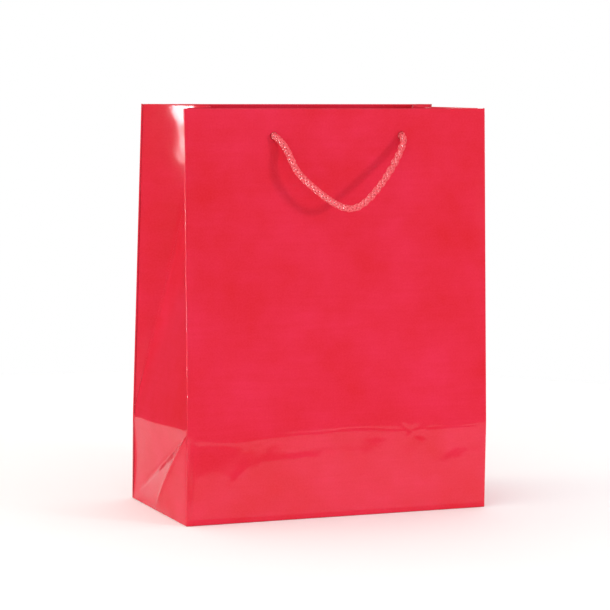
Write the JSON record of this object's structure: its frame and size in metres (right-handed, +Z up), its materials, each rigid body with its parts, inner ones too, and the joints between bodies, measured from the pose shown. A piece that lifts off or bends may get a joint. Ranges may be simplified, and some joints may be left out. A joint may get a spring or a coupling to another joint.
{
  "type": "gift bag",
  "caption": "Upright glossy paper gift bag with a block bottom, tucked side gussets, a turned-in rim and a knotted cord handle on each face.",
  "frame": {"origin": "centre of the underside, on the surface the bag stands on", "axes": "+Z up, +X to the bag's right as seen from its front, the front face looks towards -Y"},
  "size_m": [0.203, 0.1282, 0.254],
  "materials": {
    "paper": "gloss",
    "paper_inside": "satin",
    "card": "matte",
    "cord": "satin"
  },
  "bodies": {
    "base": {"front_band": "paper", "back_band": "paper", "left_band": "paper", "right_band": "paper", "seam_lap_foot": "paper_inside", "bottom_front_flap": "paper", "bottom_back_flap": "paper", "bottom_left_flap": "paper_inside", "bottom_right_flap": "paper_inside", "base_board": "card"},
    "front_wall": {"front_panel": "paper", "front_hem": "paper_inside", "front_card": "card", "front_left_knot": "cord", "front_right_knot": "cord"},
    "back_wall": {"back_panel": "paper", "back_hem": "paper_inside", "back_card": "card", "seam_lap": "paper_inside", "back_left_knot": "cord", "back_right_knot": "cord"},
    "left_tuck": {"left_gusset_center": "paper"},
    "right_tuck": {"right_gusset_center": "paper"},
    "left_front_wing": {"left_gusset_front": "paper", "left_front_hem": "paper_inside"},
    "left_back_wing": {"left_gusset_back": "paper", "left_back_hem": "paper_inside"},
    "right_front_wing": {"right_gusset_front": "paper", "right_front_hem": "paper_inside"},
    "right_back_wing": {"right_gusset_back": "paper", "right_back_hem": "paper_inside"},
    "front_loop": {"front_handle": "cord"},
    "back_loop": {"back_handle": "cord"}
  },
  "joints": [
    {"name": "mouth_close", "type": "hinge", "parent": "base", "child": "front_wall", "pos_m": [0, -0.0507, 0.055], "axis": [-1, 0, 0], "range_deg": [0, 8.6]},
    {"name": "back_wall_close", "type": "hinge", "parent": "base", "child": "back_wall", "pos_m": [0, 0.0507, 0.055], "axis": [1, 0, 0], "range_deg": [0, 8.6]},
    {"name": "left_tuck_in", "type": "hinge", "parent": "base", "child": "left_tuck", "pos_m": [-0.1012, 0, 0.055], "axis": [0, 1, 0], "range_deg": [0, 5.2]},
    {"name": "right_tuck_in", "type": "hinge", "parent": "base", "child": "right_tuck", "pos_m": [0.1012, 0, 0.055], "axis": [0, -1, 0], "range_deg": [0, 5.2]},
    {"name": "left_front_wing_fold", "type": "hinge", "parent": "front_wall", "child": "left_front_wing", "pos_m": [-0.1012, -0.0507, 0.055], "axis": [0, -0.0593, -0.9982], "range_deg": [0, 39.4]},
    {"name": "left_back_wing_fold", "type": "hinge", "parent": "back_wall", "child": "left_back_wing", "pos_m": [-0.1012, 0.0507, 0.055], "axis": [0, -0.0593, 0.9982], "range_deg": [0, 39.4]},
    {"name": "right_front_wing_fold", "type": "hinge", "parent": "front_wall", "child": "right_front_wing", "pos_m": [0.1012, -0.0507, 0.055], "axis": [0, 0.0593, 0.9982], "range_deg": [0, 39.4]},
    {"name": "right_back_wing_fold", "type": "hinge", "parent": "back_wall", "child": "right_back_wing", "pos_m": [0.1012, 0.0507, 0.055], "axis": [0, 0.0593, -0.9982], "range_deg": [0, 39.4]},
    {"name": "front_handle_swing", "type": "hinge", "parent": "front_wall", "child": "front_loop", "pos_m": [0, -0.04267, 0.23735], "axis": [-1, 0, 0], "range_deg": [0, 150]},
    {"name": "back_handle_swing", "type": "hinge", "parent": "back_wall", "child": "back_loop", "pos_m": [0, 0.04267, 0.23735], "axis": [1, 0, 0], "range_deg": [0, 150]}
  ],
  "couplings": [
    {"joint": "back_wall_close", "follows": "mouth_close", "ratio": 1},
    {"joint": "left_tuck_in", "follows": "mouth_close", "ratio": 0.59422},
    {"joint": "right_tuck_in", "follows": "mouth_close", "ratio": 0.59422},
    {"joint": "left_front_wing_fold", "follows": "mouth_close", "ratio": 4.5799},
    {"joint": "left_back_wing_fold", "follows": "mouth_close", "ratio": 4.5799},
    {"joint": "right_front_wing_fold", "follows": "mouth_close", "ratio": 4.5799},
    {"joint": "right_back_wing_fold", "follows": "mouth_close", "ratio": 4.5799}
  ]
}
